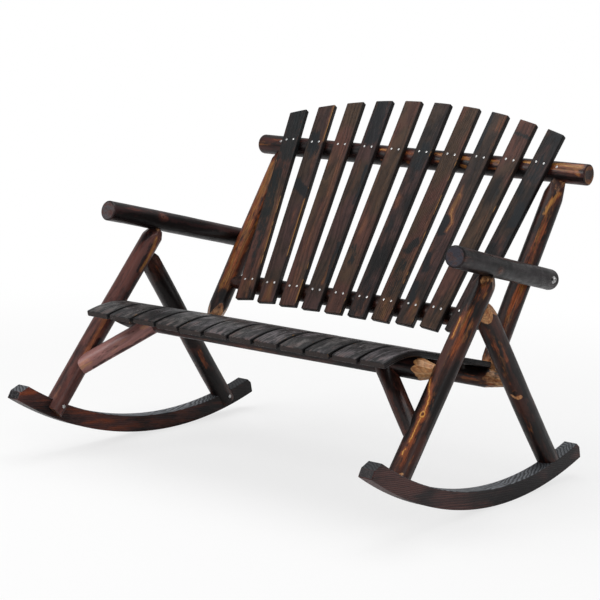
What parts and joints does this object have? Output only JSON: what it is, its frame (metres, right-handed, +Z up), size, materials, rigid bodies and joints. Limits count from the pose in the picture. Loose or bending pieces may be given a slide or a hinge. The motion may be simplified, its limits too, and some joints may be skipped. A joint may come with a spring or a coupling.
{
  "type": "rocking bench",
  "caption": "Two-seat garden rocking bench of charred logs, with a slatted seat, a fanned slat back and two arched plank rockers.",
  "frame": {"origin": "middle of the bench's bounding box, on the ground", "axes": "+Z up; the sitter faces -Y; +X to the right for someone who stands in front of the bench and looks at it"},
  "size_m": [1.1966, 1.086, 0.9841],
  "materials": {
    "log_brown": "charred and brushed, satin clear coat, red-brown with dark patches",
    "log_black": "charred nearly black, satin clear coat",
    "slat_brown": "charred board, dark brown, satin",
    "slat_dark": "charred board, nearly black, satin",
    "seat_grey": "charred board, dark grey, satin",
    "rocker_wood": "charred plank, red-brown faces and rough grey edges",
    "fastener_steel": "bright zinc-plated"
  },
  "bodies": {
    "root": {"rocker_left": "rocker_wood", "front_leg_left": "log_brown", "rear_leg_left": "log_brown", "armrest_left": "log_black", "back_post_left": "log_brown", "brace_left": "log_brown", "rocker_front_bolt_left": "fastener_steel", "rocker_rear_bolt_left": "fastener_steel", "armrest_bolt_left": "fastener_steel", "armrest_washer_left": "fastener_steel", "top_rail_screw_left": "fastener_steel", "brace_foot_screw_left": "fastener_steel", "brace_head_screw_left": "fastener_steel", "rocker_right": "rocker_wood", "front_leg_right": "log_brown", "rear_leg_right": "log_brown", "armrest_right": "log_black", "back_post_right": "log_brown", "brace_right": "log_brown", "rocker_front_bolt_right": "fastener_steel", "rocker_rear_bolt_right": "fastener_steel", "armrest_bolt_right": "fastener_steel", "armrest_washer_right": "fastener_steel", "top_rail_screw_right": "fastener_steel", "brace_foot_screw_right": "fastener_steel", "brace_head_screw_right": "fastener_steel", "front_seat_rail": "log_black", "rear_seat_rail": "log_brown", "top_rail": "log_black", "lower_back_rail": "log_brown", "seat_slat_01": "seat_grey", "seat_slat_02": "seat_grey", "seat_slat_03": "seat_grey", "seat_slat_04": "seat_grey", "seat_slat_05": "seat_grey", "seat_slat_06": "seat_grey", "seat_slat_07": "seat_grey", "seat_slat_08": "seat_grey", "seat_slat_09": "seat_grey", "seat_slat_10": "seat_grey", "seat_slat_11": "seat_grey", "seat_slat_12": "seat_grey", "back_slat_01": "slat_brown", "back_slat_02": "slat_dark", "back_slat_03": "slat_brown", "back_slat_04": "slat_dark", "back_slat_05": "slat_brown", "back_slat_06": "slat_dark", "back_slat_07": "slat_brown", "back_slat_08": "slat_dark", "back_slat_09": "slat_brown", "back_slat_10": "slat_dark"}
  },
  "joints": []
}
